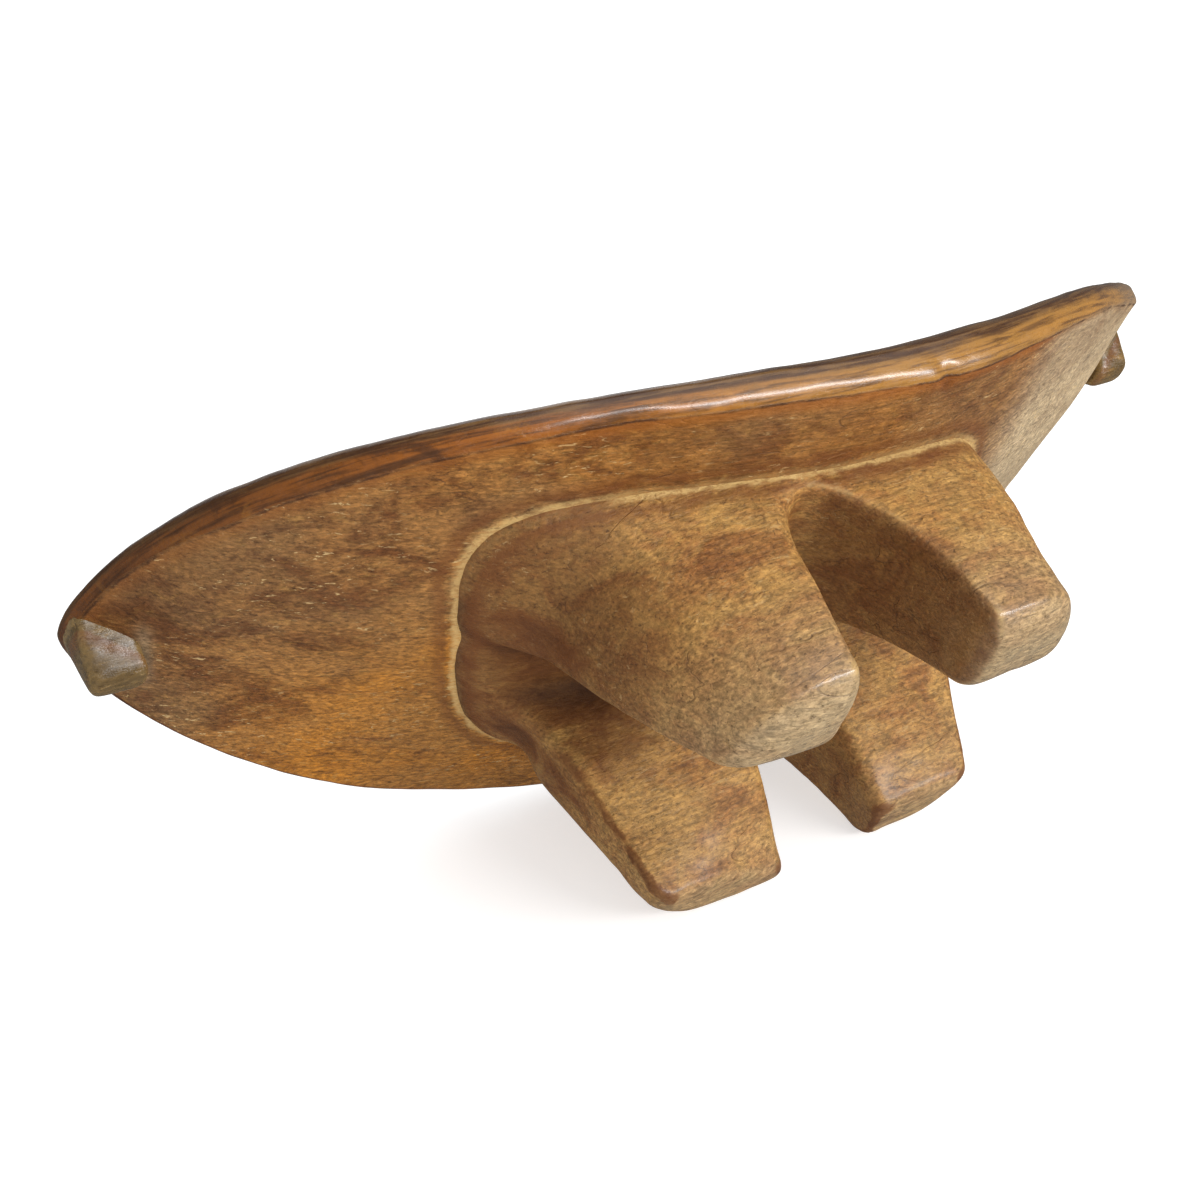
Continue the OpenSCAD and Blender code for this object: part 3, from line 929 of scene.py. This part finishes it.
def rim_colour(w, colour, rubbed):
    """The handled rim: grey-brown round the top, its grey partly a painted sheen, then a polished band
    down to the crease.
    """
    edge, crease, along = w.mark("edge_mm"), w.mark("crease_mm"), w.mark("along_mm")
    faded = w.mark("faded")
    soft = w.shaken(crease, w.mottle, 2.5)
    down = w.calc("DIVIDE", edge, w.calc("MAXIMUM", w.calc("SUBTRACT", edge, crease), 1.0))
    down = w.shaken(down, w.patch, 0.5)
    band = w.times(w.span(edge, -7.0, -2.0), w.span(soft, 1.2, -0.6))
    fine = w.streaks(along, edge, (26.0, 1.5))
    wide = w.streaks(along, edge, (60.0, 5.0))
    polish = w.mix(w.span(fine, 0.42, 0.66, 0.0, 0.85), POLISHED, POLISHED_DARK)
    polish = w.mix(w.span(wide, 0.48, 0.64, 0.0, 0.75), polish, POLISHED_DARK)
    polish = w.mix(w.span(w.patch, 0.50, 0.66, 0.0, 0.7), polish, POLISHED_DARK)
    polish = w.mix(w.span(w.patch, 0.46, 0.34, 0.0, 0.5), polish, GOLD)
    # the right half is browner, the top of the rim greyer, that grey partly a painted sheen, and the
    # left end dull
    honey = w.mix(w.span(fine, 0.44, 0.66), HONEY, HONEY_DARK)
    polish = w.mix(w.span(along, 170.0, 330.0, 0.0, 0.85), polish, honey)
    upper = w.mix(w.span(fine, 0.36, 0.6), RIM_TOP, POLISHED_DARK)
    polish = w.mix(w.span(down, 0.40, 0.14), polish, upper)
    dull = w.calc("MAXIMUM", w.times(w.mark("stain"), 0.9), w.span(along, 60.0, 200.0, 0.55, 0.0))
    polish = w.mix(dull, polish, POLISHED_DARK)
    # the right end of the band is painted paler and greyer: a painted sheen
    polish = w.mix(faded, polish, RIM_SHEEN_PALE)
    colour = w.mix(w.times(band, 0.95), colour, polish)
    # a rusty strip runs along the outside of the crease, with a thin dark line in it
    rust = w.times(w.span(soft, 8.0, 2.0), w.span(soft, 0.2, 1.4))
    rust = w.times(rust, w.span(along, 60.0, 240.0, 0.25, 0.60))
    rust = w.times(rust, w.span(faded, 0.0, 0.6, 1.0, 0.1))
    colour = w.mix(rust, colour, POLISHED)
    thin = w.times(w.span(soft, 1.8, 1.0), w.span(soft, 0.0, 0.8))
    thin = w.times(thin, w.span(w.patch, 0.38, 0.56, 0.1, 0.75))
    colour = w.mix(thin, colour, DARK)
    # the dished top is handled too, and darker in its middle
    top = w.span(edge, -4.0, -14.0, 0.0, 0.6)
    colour = w.mix(top, colour, POLISHED_DARK)
    shine = w.calc("MAXIMUM", w.times(band, w.span(along, 90.0, 200.0, 0.45, 1.0)), w.times(top, 0.6))
    rubbed = w.times(rubbed, w.span(band, 0.0, 1.0, 1.0, 0.25))
    return colour, rubbed, shine


def finish_wood(w, colour, shine, cracks, rough, gloss):
    """Colour, roughness, the coat of handling where the wood shines, and the fine relief."""
    shader = w.shader.inputs
    w.links.new(colour, shader["Base Color"])
    dry = w.calc("ADD", w.span(w.mottle, 0.3, 0.7, rough - 0.08, rough + 0.12),
                 w.span(w.grit, 0.3, 0.7, -0.05, 0.06))
    w.links.new(w.calc("MULTIPLY_ADD", shine, -0.22, dry), shader["Roughness"])
    shader["Specular IOR Level"].default_value = gloss
    w.links.new(w.times(shine, 0.8), shader["Coat Weight"])
    shader["Coat Roughness"].default_value = 0.25
    height = w.calc("MULTIPLY_ADD", w.fibre, 0.5, w.mottle)
    height = w.calc("MULTIPLY_ADD", w.grit, 0.6, height)
    height = w.calc("MULTIPLY_ADD", cracks, -0.8, height)
    height = w.times(height, w.span(shine, 0.0, 1.0, 1.0, 0.4))
    bump = w.nodes.new("ShaderNodeBump")
    bump.inputs["Strength"].default_value = 0.8
    bump.inputs["Distance"].default_value = 0.7 * MM
    w.links.new(height, bump.inputs["Height"])
    w.links.new(bump.outputs[0], shader["Normal"])


def carved_wood(name, face, blotch, pale_and_sheen, grey, fleck=0.4, rough=0.5, gloss=0.25,
                russet=RUSSET, umber=UMBER, has_rim=False):
    w = Wood(name)
    colour = bare_wood(w, face, blotch, pale_and_sheen, grey, russet, umber)
    colour, cracks = blemishes(w, colour, fleck)
    colour, shine = use_and_wear(w, colour, has_rim)
    finish_wood(w, colour, shine, cracks, rough, gloss)
    return w.material


rest_wood = carved_wood("rest_wood", TAN, UMBER, WEAR_AND_SHEEN_PALE, grey=0.35, fleck=0.9, has_rim=True)
block_wood = carved_wood("block_wood", OCHRE, TAN, LEG_WEAR_AND_SHEEN_PALE, grey=0.1)
leg_wood = carved_wood("leg_wood", OCHRE, TAN, LEG_WEAR_AND_SHEEN_PALE, grey=0.1)
lug_wood = carved_wood("lug_wood", LUG_FACE, LUG_BLOTCH, WEAR_AND_SHEEN_PALE, grey=0.2, rough=0.34, gloss=0.5,
                       russet=LUG_RUSSET, umber=LUG_UMBER)

build_rest(rest_wood)
build_block(block_wood, leg_wood)
build_lug("lug_left", -1, 6, 15, lug_wood)
build_lug("lug_right", 1, -20, 14, lug_wood)

# ---------------------------------------------------------------- stage and light
WHITE = (1, 1, 1, 1)
# One floor is tilted to where the photograph's table is, touching the back rim and the back
# feet; the other is level, for the other views. Places are in metres.
RIM_TOUCH = Vector((0, HALF_W * MM, 0.0880))
FEET_TOUCH = Vector((0, 0.0735, 0.0035))
TILTED_GAP = 0.001               # the tilted floor lies this far under what it touches
LEVEL_GAP = 0.0005               # and the level one this far under the soles
FLOOR_HALF = 6.0                 # half the side of both
FLOOR_ALBEDO = 0.60
FLOOR_GLOW = 0.60


def one_sided_white(name, albedo, glow):
    """A matt white that glows a little, and that is clear from behind."""
    m = bpy.data.materials.new(name)
    m.use_nodes = True
    nodes, links = m.node_tree.nodes, m.node_tree.links
    shader = nodes["Principled BSDF"]
    shader.inputs["Base Color"].default_value = (albedo, albedo, albedo, 1)
    shader.inputs["Roughness"].default_value = 0.9
    shader.inputs["Specular IOR Level"].default_value = 0.0
    shader.inputs["Emission Color"].default_value = WHITE
    shader.inputs["Emission Strength"].default_value = glow
    clear = nodes.new("ShaderNodeBsdfTransparent")
    face = nodes.new("ShaderNodeNewGeometry")
    mix = nodes.new("ShaderNodeMixShader")
    links.new(face.outputs["Backfacing"], mix.inputs[0])
    links.new(shader.outputs[0], mix.inputs[1])
    links.new(clear.outputs[0], mix.inputs[2])
    links.new(mix.outputs[0], nodes["Material Output"].inputs[0])
    return m


def floor_sheet(name, centre, along_y, material):
    """A flat sheet through centre, level along X, that shows in no reflection."""
    a = Vector((FLOOR_HALF, 0, 0))
    b = along_y * FLOOR_HALF
    corners = [centre - a - b, centre + a - b, centre + a + b, centre - a + b]
    mesh = bpy.data.meshes.new(name)
    mesh.from_pydata([tuple(c) for c in corners], [], [(0, 1, 2, 3)])
    mesh.materials.append(material)
    sheet = bpy.data.objects.new(name, mesh)
    bpy.context.scene.collection.objects.link(sheet)
    sheet.visible_glossy = False
    return sheet


slope_up = (RIM_TOUCH - FEET_TOUCH).normalized()
floor_up = Vector((0, -slope_up.z, slope_up.y))
white = one_sided_white("floor_white", FLOOR_ALBEDO, FLOOR_GLOW)
floor_sheet("photo_floor", RIM_TOUCH - floor_up * TILTED_GAP, slope_up, white)
level = floor_sheet("standing_floor", Vector((0, 0, -LEVEL_GAP)), Vector((0, 1, 0)), white)
level.visible_diffuse = False
level.visible_shadow = False


def softbox(name, toward, axis, distance, width, height, power, target):
    """A rectangular soft light, placed in that direction from its target and long along axis."""
    data = bpy.data.lights.new(name, "AREA")
    data.shape = "RECTANGLE"
    data.size, data.size_y, data.energy = width, height, power
    lamp = bpy.data.objects.new(name, data)
    bpy.context.scene.collection.objects.link(lamp)
    aim = toward.normalized()
    side = (axis - aim * axis.dot(aim)).normalized()
    turn = Matrix((side, aim.cross(side), aim)).transposed()
    lamp.matrix_world = Matrix.Translation(target + aim * distance) @ turn.to_4x4()


def soft_sun(name, toward, spread, strength):
    """A sun in that direction, softened over spread degrees."""
    data = bpy.data.lights.new(name, "SUN")
    data.angle, data.energy = math.radians(spread), strength
    lamp = bpy.data.objects.new(name, data)
    bpy.context.scene.collection.objects.link(lamp)
    lamp.rotation_mode = "QUATERNION"
    lamp.rotation_quaternion = toward.normalized().to_track_quat("Z", "Y")


# The strip light, aimed left of the middle, draws the long highlight on the rim band.
MIDDLE = Vector((0, 0, 0.08))
STRIP_AXIS = Vector((0.72, 0.39, 0.20))
STRIP_LEFT = 0.22
soft_sun("key", Vector((0.36, -0.92, -0.02)), spread=50, strength=0.65)
soft_sun("over", Vector((0.15, 0.05, 1.0)), spread=60, strength=0.8)
softbox("strip", Vector((0.50, -0.65, -0.56)), STRIP_AXIS, distance=1.3, width=1.1, height=0.17,
        power=16, target=MIDDLE - STRIP_AXIS * STRIP_LEFT)

# The surroundings are white to the camera, a little dimmer as light, and dim in reflections.
SEEN, FILL, REFLECTED = 1.0, 0.85, 0.15
world = bpy.data.worlds.new("world")
bpy.context.scene.world = world
world.use_nodes = True
nodes, links = world.node_tree.nodes, world.node_tree.links
path = nodes.new("ShaderNodeLightPath")


def background(node, strength):
    node.inputs[0].default_value = WHITE
    node.inputs[1].default_value = strength
    return node.outputs[0]


def pick_by(ray, otherwise, chosen):
    """The chosen shader for rays of that kind, and the other one for the rest."""
    node = nodes.new("ShaderNodeMixShader")
    links.new(path.outputs[ray], node.inputs[0])
    links.new(otherwise, node.inputs[1])
    links.new(chosen, node.inputs[2])
    return node.outputs[0]


seen = background(nodes["Background"], SEEN)
fill = background(nodes.new("ShaderNodeBackground"), FILL)
reflected = background(nodes.new("ShaderNodeBackground"), REFLECTED)
lit = pick_by("Is Camera Ray", pick_by("Is Glossy Ray", fill, reflected), seen)
links.new(lit, nodes["World Output"].inputs[0])
bpy.context.scene.view_settings.view_transform = "Standard"
